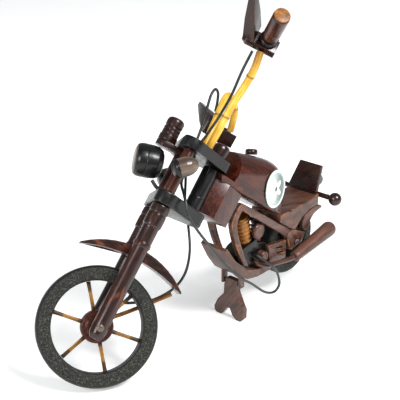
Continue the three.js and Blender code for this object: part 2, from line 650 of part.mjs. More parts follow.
const gauge_x = 29.6;
const bracket_low = 134.4;
const bracket_high = 137.4;
const gauge_profile = [[0, bracket_high + gap], [5.2, bracket_high + gap], [5.2, 141.4], [4.7, 141.8],
  [4.9, 142.3],
  [4.9, 146], [4.5, 146.4], [4.9, 146.8], [4.9, 150.2], [4.2, 151.8], [2.6, 152.4], [0, 152.4]];
piece(steering, 'speedometer', turned(gauge_profile, 18).translate(gauge_x, 0, 0), dark_wood);
const bracket_shape = new THREE.Shape();
bracket_shape.absarc(gauge_x, 0, 5.2, -Math.PI / 2, Math.PI / 2);
bracket_shape.lineTo(16, 5.2);
bracket_shape.lineTo(16, -5.2);
bracket_shape.closePath();
const bracket_top = box(0, 40, -20, 20, upper_clamp_bottom - gap, 150);
const bracket_clear = common(bracket_top, box(0, clamp_front + gap, -20, 20, 130, 150));
const lamp_neck = rod(4.4, headlight_z + 10.9, bracket_low + 1).translate(gauge_x - 1, 0, 0);
piece(steering, 'gauge_bracket', cut(join(flatPlate(bracket_shape, bracket_high - bracket_low,
  bracket_low, 12), lamp_neck),
  bracket_clear), dark_wood);

// ---------------------------------------------------------------- front signals
const signal_tilt = 48;
const bullet = turned([[0, -6], [3.4, -6], [4.9, -5.2], [5.4, -3.4], [5.4, 1.4], [4.9, 4], [3.8, 6.2],
  [2, 7.8],
  [0, 8.4]], 18);
for (const [name, side] of sides) {
  const shell = bullet.clone().rotateY(rad(-signal_tilt))
    .translate(fork_offset, side * (fork_spread + signal_arm), 125);
  const arm = across(rod(1.7, 0, 4, 12), fork_offset, fork_spread + tube_radius + gap, 125, side);
  piece(steering, `front_signal_${name}`, join(closed(shell), arm), black_lacquer);
}

// ---------------------------------------------------------------- handlebars
const bar_radius = 2.2;
const left_bar = [[7.8, 8, upper_clamp_top + gap], [7.8, 8, upper_clamp_top + 2], [7.8, 10.6, 151],
  [7.9, 14, 158.5], [8.1, 18, 169.5], [7.2, 23, 182],
  [7.6, 28.6, 190], [8.6, 31.2, 195.2], [9.2, 31.3, 199.05]];
piece(steering, 'handlebar_left', tube(left_bar, bar_radius, 18, 10), rattan);
const right_bar = [[8, -8, upper_clamp_top + gap], [8, -8, upper_clamp_top + 2], [8.4, -10.6, 155],
  [8.7, -14, 167], [8.9, -19, 179], [7.2, -24.6, 185],
  [2.4, -29.4, 184.6], [-2, -33, 179], [-4.4, -37, 172.5], [-4.9, -38.2, 169.8]];
piece(steering, 'handlebar_right', tube(right_bar, bar_radius, 22, 10), rattan);

function leverBlock() {
  // Drawn with the grip along +Y; the blade leaves the block's front end outwards, forwards and up.
  const board = sidePlate(outline([[-5, -4], [12, -4], [14.5, -2], [14.5, 4], [-5, 4]]), 5, 0);
  const bladeSection = (y, x0, x1, z0, z1) => [v3(x0, y, z0), v3(x1, y, z0), v3(x1, y, z1), v3(x0, y, z1)];
  const blade = loft([bladeSection(0, 8, 14.3, -3.8, 3.8), bladeSection(3, 8, 14.8, -3.4, 7.4),
    bladeSection(12, 12.2, 18, 0.6, 9.6), bladeSection(27, 19.6, 22.2, 8.4, 11)]);
  return join(board, blade);
}
function grip() {
  return turned([[0, 0], [5, 0], [5.2, 0.8], [5.2, 2.6], [4.5, 3], [4.5, 5], [4.65, 5.6], [4.65, 24],
    [4.1, 25.2],
    [0, 25.2]], 18).rotateX(-Math.PI / 2);
}
const leftHand = (g) => g.rotateX(rad(16)).rotateZ(rad(-6)).translate(7, 31.6, 204.2);
const rightHand = (g) => closed(g.scale(1, -1, 1)).rotateX(rad(-16)).translate(-5, -40.6, 165.6);
piece(steering, 'lever_left', leftHand(leverBlock()), dark_wood);
piece(steering, 'grip_left', leftHand(grip().translate(1.2, 2.5 + gap, 1.6)), black_lacquer);
piece(steering, 'lever_right', rightHand(leverBlock()), dark_wood);
piece(steering, 'grip_right', rightHand(grip().translate(1.6, 2.5 + gap, 0)), black_lacquer);

// ---------------------------------------------------------------- cables
const brake_route = [[10.5, -19.9, 171.5], [12, -19.4, 177], [14.2, -18, 181.6], [16.7, -16.5, 182.4],
  [17.6, -15, 178],
  [16.4, -13.4, 169.5], [14.8, -11, 160], [13.9, -8.6, 150], [...brake_hole, 145], [...brake_hole, 134],
    [9.6, -10, 127],
  [5, -13.4, 118.6], [0.6, -15, 110.6], [-5, -14.4, 103.4], [-11.4, -12.6, 92], [-14.8, -12.6, 81],
    [-14.4, -13, 72],
  [-11, -13, 64.4], [-5, -13, 57], [3.6, -13.6, 51], [11.4, -15.4, 47]];
piece(steering, 'brake_cable', tube(brake_route, cable_radius, 64, 6), black_cable);

// The clutch cable leaves the left lever, passes the clamps and loops under the frame into the engine case.
bike.updateMatrixWorld(true);
const clutch_upper = [[13, 28.6, 198.6], [12.6, 25, 187], [10.6, 15, 174.6], [10.4, 7, 163],
  [11.6, 4.2, 151],
  [...clutch_hole, 146], [...clutch_hole, 134], [13, 9, 121], [9.6, 16, 114], [6.6, 19, 109.6],
    [2.4, 18.4, 104.4]]
  .map(([x, y, z]) => steering.localToWorld(v3(x, y, z)).toArray());
const clutch_lower = [[103.6, 12.6, 76.6], [93, 13, 62.8], [81.4, 13.4, 48], [68.6, 14, 35],
  [57, 14, 26.2], [44.4, 14, 15.8],
  [35, 14, 12.2], [30.6, 14.4, 16], [34.4, 15.4, 25.6], [40.6, 15.6, 33], [44.8, 13, 37.2],
    [46.8, 10, 39.6],
  [47, case_half + gap + 0.2, 40.2]];
piece(bike, 'clutch_cable', tube([...clutch_upper, ...clutch_lower], cable_radius, 80, 6), black_cable);

// ---------------------------------------------------------------- origin
// The middle of the bounding box's underside, the cables left out.
bike.updateMatrixWorld(true);
const extent = new THREE.Box3();
bike.traverse((node) => {
  if (node.isMesh && !node.name.endsWith('_cable')) extent.union(new THREE.Box3().setFromObject(node,
    true));
});
const centre = extent.getCenter(v3(0, 0, 0));
bike.position.set(-centre.x, -centre.y, -extent.min.z);
const motorcycle = new THREE.Group();
motorcycle.name = 'motorcycle';
motorcycle.add(bike);
motorcycle.updateMatrixWorld(true);

export default motorcycle;
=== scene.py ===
"""Looks of the wooden chopper motorcycle model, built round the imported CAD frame. Metres, Z up."""
import json
import math

import bmesh
import bpy
from mathutils import Matrix, Vector


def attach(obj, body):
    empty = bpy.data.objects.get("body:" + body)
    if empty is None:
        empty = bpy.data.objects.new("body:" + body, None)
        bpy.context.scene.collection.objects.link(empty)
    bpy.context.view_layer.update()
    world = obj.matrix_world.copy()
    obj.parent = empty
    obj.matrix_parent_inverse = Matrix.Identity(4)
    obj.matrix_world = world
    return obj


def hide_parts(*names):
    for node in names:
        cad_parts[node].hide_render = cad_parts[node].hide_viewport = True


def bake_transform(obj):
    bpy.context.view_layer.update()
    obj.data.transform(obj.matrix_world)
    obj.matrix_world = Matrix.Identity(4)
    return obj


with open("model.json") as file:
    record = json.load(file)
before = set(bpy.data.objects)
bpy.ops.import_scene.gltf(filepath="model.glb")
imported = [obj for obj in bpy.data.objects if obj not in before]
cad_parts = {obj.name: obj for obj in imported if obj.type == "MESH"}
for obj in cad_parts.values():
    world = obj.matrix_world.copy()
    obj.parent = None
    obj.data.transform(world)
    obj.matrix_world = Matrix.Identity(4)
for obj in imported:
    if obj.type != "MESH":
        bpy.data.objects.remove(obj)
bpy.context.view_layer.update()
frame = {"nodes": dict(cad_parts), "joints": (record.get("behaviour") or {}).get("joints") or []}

MM = 0.001
joints = {j["name"]: j for j in frame["joints"]}
HEAD_HEIGHT = 124          # of the steering joint's point, along the steering axis
REAR_AXLE = (8.7, 0, 35.9)  # in the bike's own millimetres
TYRE_SHOULDER = 2.2
STAND_PIN = (59.3, 1, 24.2)
SPOKE_COUNT = 6
SPOKE_PHASE = math.radians(-8)    # from forwards, towards up


def vec(values):
    return Vector(values)


# ------------------------------------------------------------------ frames of reference
rear_pos = vec(joints["rear_wheel_spin"]["pos_m"])
bike_frame = Matrix.Translation(rear_pos - vec(REAR_AXLE) * MM)
steer_axis = vec(joints["steering_turn"]["axis"]).normalized()
steer_left = vec(joints["front_wheel_spin"]["axis"]).normalized()
steer_forward = steer_left.cross(steer_axis).normalized()
steer_foot = vec(joints["steering_turn"]["pos_m"]) - steer_axis * HEAD_HEIGHT * MM
front_pos = vec(joints["front_wheel_spin"]["pos_m"])


def axes(x, y, z, origin):
    m = Matrix((x, y, z)).transposed().to_4x4()
    m.translation = origin
    return m


steer_frame = axes(steer_forward, steer_left, steer_axis, steer_foot)
front_wheel_frame = axes(steer_forward, steer_left, steer_axis, front_pos)
rear_wheel_frame = Matrix.Translation(rear_pos)
front_axle = steer_frame.inverted() @ front_pos / MM

# ------------------------------------------------------------------ camera
scene = bpy.context.scene
camera_data = bpy.data.cameras.new("camera")
camera_data.lens = 90.0
camera_data.sensor_width = 36.0
camera = bpy.data.objects.new("camera", camera_data)
scene.collection.objects.link(camera)
camera_place = bike_frame @ (Vector((470.6, 343.6, 304.7)) * MM)
camera_target = bike_frame @ (Vector((90, 2.05, 87.52)) * MM)
camera.location = camera_place
camera.rotation_euler = (camera_target - camera_place).to_track_quat("-Z", "Y").to_euler()
scene.camera = camera


# ------------------------------------------------------------------ shader helpers
class Sock:
    """A shader socket with arithmetic."""

    def __init__(self, tree, out):
        self.tree, self.out = tree, out

    def math(self, op, other=None, third=None, clamp=False):
        node = self.tree.add("ShaderNodeMath", operation=op, use_clamp=clamp)
        for i, value in enumerate((self, other, third)):
            if value is not None:
                self.tree.feed(node.inputs[i], value)
        return Sock(self.tree, node.outputs[0])

    def __add__(self, o):
        return self.math("ADD", o)

    __radd__ = __add__

    def __mul__(self, o):
        return self.math("MULTIPLY", o)

    __rmul__ = __mul__

    def __sub__(self, o):
        return self.math("SUBTRACT", o)

    def __rsub__(self, o):
        return (self * -1.0) + o

    def __truediv__(self, o):
        return self.math("DIVIDE", o)

    def __pow__(self, o):
        return self.math("POWER", o)

    def step(self, low, high, out_low=0.0, out_high=1.0):
        """A smooth rise from out_low to out_high between low and high."""
        node = self.tree.add("ShaderNodeMapRange", interpolation_type="SMOOTHSTEP")
        for name, value in (("Value", self), ("From Min", low), ("From Max", high),
                            ("To Min", out_low), ("To Max", out_high)):
            self.tree.feed(node.inputs[name], value)
        return Sock(self.tree, node.outputs[0])


class Tree:
    """A material's node tree, built one call at a time."""

    def __init__(self, name):
        self.material = bpy.data.materials.new(name)
        self.material.use_nodes = True
        self.nodes = self.material.node_tree.nodes
        self.links = self.material.node_tree.links
        self.nodes.clear()
        self.bsdf = self.add("ShaderNodeBsdfPrincipled")
        out = self.add("ShaderNodeOutputMaterial")
        self.links.new(self.bsdf.outputs[0], out.inputs[0])

    def add(self, kind, **settings):
        node = self.nodes.new(kind)
        for key, value in settings.items():
            setattr(node, key, value)
        return node

    def feed(self, socket, value):
        if isinstance(value, Sock):
            self.links.new(value.out, socket)
        else:
            socket.default_value = value

    def set(self, name, value):
        self.feed(self.bsdf.inputs[name], value)

    def attribute(self, name, part="Fac"):
        return Sock(self, self.add("ShaderNodeAttribute", attribute_name=name).outputs[part])

    def split(self, vector):
        node = self.add("ShaderNodeSeparateXYZ")
        self.feed(node.inputs[0], vector)
        return [Sock(self, o) for o in node.outputs]

    def stretched(self, vector, scale):
        node = self.add("ShaderNodeMapping")
        self.feed(node.inputs["Vector"], vector)
        node.inputs["Scale"].default_value = scale
        return Sock(self, node.outputs[0])

    def noise(self, vector, scale, detail=3.0, roughness=0.55, distortion=0.0):
        node = self.add("ShaderNodeTexNoise")
        self.feed(node.inputs["Vector"], vector)
        for key, value in (("Scale", scale), ("Detail", detail), ("Roughness", roughness),
                           ("Distortion", distortion)):
            node.inputs[key].default_value = value
        return Sock(self, node.outputs["Fac"])

    def mix(self, factor, a, b):
        node = self.add("ShaderNodeMix", data_type="RGBA")
        self.feed(node.inputs[0], factor)
        self.feed(node.inputs[6], a if isinstance(a, Sock) else (*a, 1))
        self.feed(node.inputs[7], b if isinstance(b, Sock) else (*b, 1))
        return Sock(self, node.outputs[2])

    def bump(self, height, strength, distance):
        node = self.add("ShaderNodeBump")
        self.feed(node.inputs["Height"], height)
        node.inputs["Strength"].default_value = strength
        node.inputs["Distance"].default_value = distance
        self.set("Normal", Sock(self, node.outputs[0]))


def srgb(text):
    """A linear colour from a hex code."""
    values = [int(text[i:i + 2], 16) / 255 for i in (0, 2, 4)]
    return tuple(v / 12.92 if v <= 0.04045 else ((v + 0.055) / 1.055) ** 2.4 for v in values)


def wood(name, dark, mid, worn, wear=0.5, rough=0.3, coat=0.2, edge=False, streaks=0.0):
    """Stained and lacquered wood: the grain runs along the first axis of the piece's grain attribute."""
    t = Tree(name)
    grain = t.attribute("grain", "Vector")
    long = t.stretched(grain, (0.12, 1.0, 1.0))
    fibre = t.noise(long, 900.0, 4.0, 0.6)
    bands = t.noise(long, 240.0, 3.0, 0.5, 0.6)
    cloud = t.noise(grain, 90.0, 3.0, 0.6)
    fleck = t.noise(t.stretched(grain, (0.22, 1.0, 1.0)), 380.0, 3.0, 0.6)
    pores = t.noise(t.stretched(grain, (0.06, 1.0, 1.0)), 2600.0, 2.0, 0.5)
    base = t.mix((bands * 0.65 + fibre * 0.35).step(0.36, 0.66), dark, mid)
    base = t.mix(pores.step(0.56, 0.7) * 0.55, base, dark)
    low = 0.66 - 0.2 * wear - (0.13 if edge else 0.0)
    rubbed = (cloud * 0.5 + fleck * 0.5).step(low, low + 0.12) * (0.75 if edge else 0.45)
    streak = (fleck * 0.7 + bands * 0.3).step(0.54, 0.66) * streaks
    shown = rubbed.math("MAXIMUM", streak)
    t.set("Base Color", t.mix(shown, base, worn))
    t.set("Roughness", fibre.step(0.2, 0.8, rough - 0.05, rough + 0.12) + shown * 0.15)
    t.set("Specular IOR Level", 0.3)
    t.set("Coat Weight", (1.0 - shown * 0.6) * coat)
    t.set("Coat Roughness", 0.14)
    t.bump(fibre * 0.5 + bands * 0.3 + pores * 0.2, 0.22, 0.00018)
    return t.material


MAHOGANY = (srgb("280e07"), srgb("4c1e10"), srgb("a3521f"))
BROWN = (srgb("38211a"), srgb("644234"), srgb("95603a"))
DARK = (srgb("170a07"), srgb("2e130c"), srgb("6e3417"))
BLACK = (srgb("050505"), srgb("100f0e"), srgb("35261d"))
HONEY = (srgb("63370f"), srgb("a36a24"), srgb("cf9a45"))
SMOKE = (srgb("3c2f27"), srgb("6d5c4e"), srgb("a8947c"))


def pair(name, colours, wear, rough, coat, streaks=0.0):
    """A face finish and its rubbed edge finish."""
    face = wood(name, *colours, wear, rough, coat, streaks=streaks)
    return (face, wood(name + "_edge", *colours, wear, rough + 0.05, coat, True, streaks))


finish = {
    "mahogany": pair("mahogany", MAHOGANY, 0.3, 0.26, 0.3),
    "streaked": pair("streaked_wood", DARK, 0.35, 0.28, 0.3, 0.85),
    "brown": pair("brown_wood", BROWN, 0.3, 0.34, 0.2),
    "dark": pair("dark_wood", DARK, 0.3, 0.28, 0.3),
    "black": pair("black_lacquer", BLACK, 0.15, 0.3, 0.12),
    "smoke": pair("smoked_wood", SMOKE, 0.35, 0.3, 0.3),
    "honey": pair("honey_wood", HONEY, 0.35, 0.42, 0.1),
}


def tyre_finish():
    t = Tree("tyre_fibre")
    p = t.attribute("grain", "Vector")
    speck = t.noise(p, 3200.0, 2.0, 0.6)
    coarse = t.noise(p, 900.0, 4.0, 0.65)
    light = (speck * 0.6 + coarse * 0.4).step(0.5, 0.64)
    side = t.attribute("side")
    tone = t.mix(light * (0.15 + side * 0.6), srgb("080807"), srgb("68675c"))
    t.set("Base Color", tone)
    t.set("Roughness", coarse.step(0.3, 0.7, 0.5, 0.85))
    t.set("Specular IOR Level", 0.3)
    t.set("Coat Weight", (1.0 - side) * 0.15)
    t.set("Coat Roughness", 0.3)
    t.bump(speck * 0.5 + coarse * 0.5, 0.5, 0.0004)
    return t.material


def cane_finish():
    t = Tree("rattan")
    p = t.attribute("grain", "Vector")
    fibre = t.noise(t.stretched(p, (0.05, 1.0, 1.0)), 1300.0, 3.0, 0.6)
    cloud = t.noise(p, 90.0, 2.0, 0.5)
    node = t.attribute("knot")
    scorch = t.attribute("scorch") * cloud.step(0.3, 0.7, 0.5, 1.0)
    colour = t.mix((fibre * 0.6 + cloud * 0.4).step(0.36, 0.66), srgb("c48a1c"), srgb("efc652"))
    colour = t.mix(node * 0.85, colour, srgb("5c3410"))
    colour = t.mix(scorch * 0.8, colour, srgb("7a4416"))
    t.set("Base Color", colour)
    t.set("Roughness", fibre.step(0.2, 0.8, 0.3, 0.5))
    t.set("Specular IOR Level", 0.3)
    t.set("Coat Weight", 0.15)
    t.set("Coat Roughness", 0.2)
    t.bump(fibre, 0.3, 0.0002)
    return t.material


def cable_finish():
    t = Tree("black_cable")
    p = t.attribute("grain", "Vector")
    dust = t.noise(p, 500.0, 3.0, 0.6)
    t.set("Base Color", t.mix(dust.step(0.4, 0.8), srgb("0c1212"), srgb("25302f")))
    t.set("Roughness", dust.step(0.3, 0.8, 0.3, 0.5))
    return t.material


def spoke_finish():
    """Pale stick, with the black of the rim and the hub rubbed over its ends."""
    t = Tree("spoke_stick")
    p = t.attribute("grain", "Vector")
    fibre = t.noise(t.stretched(p, (0.08, 1.0, 1.0)), 1400.0, 3.0, 0.6)
    stain = t.noise(p, 420.0, 4.0, 0.65)
    colour = t.mix((fibre * 0.6 + stain * 0.4).step(0.36, 0.64), srgb("6b4413"), srgb("bd8a36"))
    burnt = (t.attribute("char") + stain * 1.3 - 0.55).step(0.1, 0.35)
    t.set("Base Color", t.mix(burnt * 0.85, colour, srgb("1c120b")))
    t.set("Roughness", fibre.step(0.2, 0.8, 0.35, 0.55))
    t.set("Specular IOR Level", 0.3)
    t.bump(fibre, 0.3, 0.0002)
    return t.material


def dowel_finish():
    t = Tree("dowel_end")
    p = t.attribute("grain", "Vector")
    x, y, z = t.split(p)
    radius = (x * x + y * y) ** 0.5
    rings = (radius * 9000.0).math("SINE")
    grime = t.noise(p, 600.0, 3.0, 0.6)
    tone = t.mix((rings * 0.25 + grime).step(0.3, 0.9), srgb("3b2a22"), srgb("77695c"))
    t.set("Base Color", tone)
    t.set("Roughness", grime.step(0.3, 0.8, 0.3, 0.6))
    t.set("Coat Weight", 0.3)
    return t.material


def emblem_finish(half_width, half_height):
    """A printed oval badge: pale border rings round a grey field with a plain five-spoke rosette. The field
    grades from dark grey at the badge's rear to pale at its front: a painted sheen, not print.
    """
    t = Tree("emblem_print")
    x, y, z = t.split(t.attribute("grain", "Vector"))
    u, v = x / half_width, y / half_height
    radius = (u * u + v * v) ** 0.5
    angle = v.math("ARCTAN2", u)
    grime = t.noise(t.attribute("grain", "Vector"), 700.0, 3.0, 0.6)
    # Painted sheen: the grey field is painted pale towards the badge's front and dark towards its rear; the
    # noise only wobbles where it changes.
    field = t.mix((u + 0.15 * grime).step(-0.5, 0.7), srgb("5f6c6a"), srgb("c5d2cd"))
    petal = ((angle * 5.0).math("COSINE") * 0.16 + 0.42 - radius).step(-0.02, 0.02)
    heart = (0.14 - radius).step(-0.02, 0.02)
    colour = t.mix(petal * 0.85, field, srgb("eef6f1"))
    colour = t.mix(heart, colour, srgb("4d5a58"))
    ring = radius.step(0.77, 0.79) - radius.step(0.815, 0.835)
    border = radius.step(0.86, 0.88)
    colour = t.mix(ring, colour, srgb("8fa29c"))
    colour = t.mix(border, colour, srgb("e4eee8"))
    rim = radius.step(0.955, 0.985)
    colour = t.mix(rim * 0.6, colour, srgb("a9c0b5"))
    t.set("Base Color", colour)
    t.set("Roughness", grime.step(0.3, 0.8, 0.25, 0.45))
    t.set("Coat Weight", 0.3)
    t.bump(ring + border, 0.3, 0.0002)
    return t.material


finish["tyre"] = (tyre_finish(),)
finish["cane"] = (cane_finish(),)
finish["spoke"] = (spoke_finish(),)
finish["cable"] = (cable_finish(),)
finish["dowel"] = (dowel_finish(),)


# ------------------------------------------------------------------ mesh helpers
def grain_axes(points):
    """The longest direction of a cloud of points, and two more at right angles to it."""
    centre = sum(points, Vector()) / len(points)
    direction = max(points, key=lambda p: (p - centre).length) - centre
    far = min(points, key=lambda p: (p - centre).dot(direction)) - centre
    x = (direction - far).normalized()
    side = Vector((0, 1, 0)) if abs(x.y) < 0.8 else Vector((1, 0, 0))
    z = x.cross(side).normalized()
    return axes(x, z.cross(x), z, centre)


def finish_piece(name, mesh, place, body, look, nodes=(), smooth=40, grain=None):
    """Puts a mesh drawn in its own metres into the scene, gives it its finish and body, and hides the CAD
    nodes it stands in for.
    """
    points = [v.co.copy() for v in mesh.vertices]
    back = (grain or grain_axes(points)).inverted()
    seed = Vector((sum(map(ord, name)) % 97, sum(map(ord, name)) % 53, sum(map(ord, name)) % 31)) * 0.013
    if "grain" not in mesh.attributes:
        data = mesh.attributes.new("grain", "FLOAT_VECTOR", "POINT").data
        for item, point in zip(data, points):
            item.vector = back @ point + (seed if look not in ("emblem", "dowel") else Vector())
    mesh.transform(place)
    mesh.update()
    piece = bpy.data.objects.new(name, mesh)
    scene.collection.objects.link(piece)
    for material in finish[look]:
        mesh.materials.append(material)
    mesh.shade_smooth()
    mesh.set_sharp_from_angle(angle=math.radians(smooth))
    if body:
        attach(piece, body)
    for node in nodes:
        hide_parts(node)
    return piece


def carry(node, body, look, width=0.5, segments=2, smooth=35):
    """A CAD node's own shape with its edges eased and rubbed."""
    source = frame["nodes"][node]
    bm = bmesh.new()
    bm.from_mesh(source.data)
    bmesh.ops.remove_doubles(bm, verts=bm.verts, dist=1e-6)
    bmesh.ops.dissolve_limit(bm, angle_limit=math.radians(0.5), verts=bm.verts, edges=bm.edges)
    sharp = [e for e in bm.edges if len(e.link_faces) == 2 and e.calc_face_angle(0) > math.radians(smooth)]
    for face in bm.faces:
        face.material_index = 0
    bmesh.ops.bevel(bm, geom=sharp, offset=width * MM, offset_type="OFFSET", segments=segments, profile=0.6,
                    affect="EDGES", clamp_overlap=True, material=1)
    bmesh.ops.triangulate(bm, faces=bm.faces)
    mesh = bpy.data.meshes.new(node + "_shape")
    bm.to_mesh(mesh)
    bm.free()
    return finish_piece(node + "_look", mesh, Matrix(), body, look, [node], smooth=30)


def soft_profile(profile, radius=0.35, steps=3):
    """Rounds the corners of a [radius, height] outline."""
    points = [Vector(p) for p in profile]
    out = [points[0]]
    for a, b, c in zip(points, points[1:], points[2:]):
        cut = min(radius, 0.45 * (b - a).length, 0.45 * (c - b).length)
        if cut < 1e-3:
            out.append(b)
            continue
        start, end = b + (a - b).normalized() * cut, b + (c - b).normalized() * cut
        for i in range(steps + 1):
            s = i / steps
            out.append((1 - s) ** 2 * start + 2 * s * (1 - s) * b + s * s * end)
    return out + [points[-1]]


def lathe_mesh(name, profile, radius=0.35, sides=64, closed=False):
    """A turned mesh round Z from an outline in millimetres, drawn from its low end to its high end."""
    points = soft_profile(profile, radius)
    bm = bmesh.new()
    rings = []
    for r, h in points:
        if r < 1e-6:
            rings.append([bm.verts.new((0, 0, h * MM))])
        else:
            rings.append([bm.verts.new((r * math.cos(a) * MM, r * math.sin(a) * MM, h * MM))
                          for a in (i * math.tau / sides for i in range(sides))])
    if closed:
        rings.append(rings[0])
    for low, high in zip(rings, rings[1:]):
        for i in range(sides):
            j = (i + 1) % sides
            if len(low) == 1:
                bm.faces.new((low[0], high[j], high[i]))
            elif len(high) == 1:
                bm.faces.new((low[i], low[j], high[0]))
            else:
                bm.faces.new((low[i], low[j], high[j], high[i]))
    bmesh.ops.recalc_face_normals(bm, faces=bm.faces)
    mesh = bpy.data.meshes.new(name)
    bm.to_mesh(mesh)
    bm.free()
    return mesh


UP = Matrix()
TO_LEFT = Matrix.Rotation(-math.pi / 2, 4, "X")    # +Z becomes +Y
TO_RIGHT = Matrix.Rotation(math.pi / 2, 4, "X")    # +Z becomes -Y


def spot(frame_matrix, x, y, z, turn=UP):
    return frame_matrix @ Matrix.Translation(Vector((x, y, z)) * MM) @ turn


def turn(name, profile, place, body, look, nodes=(), radius=0.35, sides=64, closed=False, smooth=40):
    """A turned piece, its grain running along its axis."""
    grain = Matrix()
    if look != "dowel":
        grain = axes(Vector((0, 0, 1)), Vector((0, 1, 0)), Vector((-1, 0, 0)), Vector())
    return finish_piece(name, lathe_mesh(name, profile, radius, sides, closed),
                        place, body, look, nodes, smooth, grain)


def curve_points(points, per_span=12):
    """A smooth line through the points, in metres, with its running length."""
    line = []
    ext = [2 * points[0] - points[1]] + points + [2 * points[-1] - points[-2]]
    for a, b, c, d in zip(ext, ext[1:], ext[2:], ext[3:]):
        for i in range(per_span):
            s = i / per_span
            line.append(0.5 * ((2 * b) + (c - a) * s + (2 * a - 5 * b + 4 * c - d) * s * s
                               + (3 * b - a - 3 * c + d) * s ** 3))
    return line + [points[-1]]


def sweep_mesh(name, line, radius_at, sides=16):
    """A round bar along a line of points, its ends domed, with grain coordinates along and round it."""
    bm = bmesh.new()
    layer = bm.verts.layers.float_vector.new("grain")
    tangents = [(b - a).normalized() for a, b in zip([line[0]] + line, line[1:] + [line[-1]])]
    side = tangents[0].orthogonal().normalized()
    rings, run = [], 0.0
    for i, (p, t) in enumerate(zip(line, tangents)):
        run += (p - line[i - 1]).length if i else 0.0
        side = (side - t * side.dot(t)).normalized()
        other = t.cross(side)
        r = radius_at(run) * MM
        ring = []
        for k in range(sides):
            a = k * math.tau / sides
            vert = bm.verts.new(p + (side * math.cos(a) + other * math.sin(a)) * r)
            vert[layer] = (run, r * math.cos(a), r * math.sin(a))
            ring.append(vert)
        rings.append(ring)
    for low, high in zip(rings, rings[1:]):
        for k in range(sides):
            bm.faces.new((low[k], low[(k + 1) % sides], high[(k + 1) % sides], high[k]))
    bm.faces.new(rings[0][::-1])
    bm.faces.new(rings[-1])
    bmesh.ops.recalc_face_normals(bm, faces=bm.faces)
    mesh = bpy.data.meshes.new(name)
    bm.to_mesh(mesh)
    bm.free()
    return mesh, run


def swept(name, points, place, body, look, nodes, radius_at, sides=16, per_span=12, marks=None):
    line = curve_points([place @ (Vector(p) * MM) for p in points], per_span)
    mesh, total = sweep_mesh(name, line, radius_at, sides)
    if marks:
        runs = [v.vector.x for v in mesh.attributes["grain"].data]
        for key, rule in marks.items():
            data = mesh.attributes.new(key, "FLOAT", "POINT").data
            for item, run in zip(data, runs):
                item.value = rule(run / MM, total / MM)
    return finish_piece(name, mesh, Matrix(), body, look, nodes, 50)


# ------------------------------------------------------------------ geometry nodes for what repeats
def bake(name, tree, base, values):
    """The mesh that a geometry nodes group makes of a base mesh, with its named inputs set."""
    holder = bpy.data.objects.new(name + "_holder", base)
    scene.collection.objects.link(holder)
    modifier = holder.modifiers.new(name, "NODES")
    modifier.node_group = tree
    for item in tree.interface.items_tree:
        if item.item_type == "SOCKET" and item.in_out == "INPUT" and item.name in values:
            modifier[item.identifier] = values[item.name]
    holder.update_tag()
    bpy.context.view_layer.update()
    depsgraph = bpy.context.evaluated_depsgraph_get()
    mesh = bpy.data.meshes.new_from_object(holder.evaluated_get(depsgraph), depsgraph=depsgraph)
    bpy.data.objects.remove(holder)
    mesh.name = name
    return mesh


def spoke_ring_tree():
    """Geometry nodes: copies of one spoke, set evenly round the wheel's Y axis."""
    tree = bpy.data.node_groups.new("spoke_ring", "GeometryNodeTree")
    face = tree.interface
    face.new_socket("Spoke", in_out="INPUT", socket_type="NodeSocketGeometry")
    for label, kind in (("Count", "Int"), ("Phase", "Float")):
        face.new_socket(label, in_out="INPUT", socket_type="NodeSocket" + kind)
    face.new_socket("Finish", in_out="INPUT", socket_type="NodeSocketMaterial")
    face.new_socket("Ring", in_out="OUTPUT", socket_type="NodeSocketGeometry")
    add, link = tree.nodes.new, tree.links.new
    given, out = add("NodeGroupInput"), add("NodeGroupOutput")

    def math_node(operation, a, b):
        node = add("ShaderNodeMath")
        node.operation = operation
        for socket, value in zip(node.inputs, (a, b)):
            if isinstance(value, (int, float)):
                socket.default_value = value
            else:
                link(value, socket)
        return node.outputs[0]

    points = add("GeometryNodePoints")
    link(given.outputs["Count"], points.inputs["Count"])
    number = add("GeometryNodeInputIndex").outputs[0]
    step = math_node("DIVIDE", math.tau, given.outputs["Count"])
    angle = math_node("ADD", math_node("MULTIPLY", step, number), given.outputs["Phase"])
    outwards = add("ShaderNodeCombineXYZ")
    link(math_node("SUBTRACT", math.pi / 2, angle), outwards.inputs["Y"])
    placed = add("GeometryNodeInstanceOnPoints")
    link(points.outputs[0], placed.inputs["Points"])
    link(given.outputs["Spoke"], placed.inputs["Instance"])
    link(outwards.outputs[0], placed.inputs["Rotation"])
    real = add("GeometryNodeRealizeInstances")
    link(placed.outputs[0], real.inputs[0])
    finished = add("GeometryNodeSetMaterial")
    link(real.outputs[0], finished.inputs["Geometry"])
    link(given.outputs["Finish"], finished.inputs["Material"])
    link(finished.outputs[0], out.inputs[0])
    return tree


spoke_ring = spoke_ring_tree()


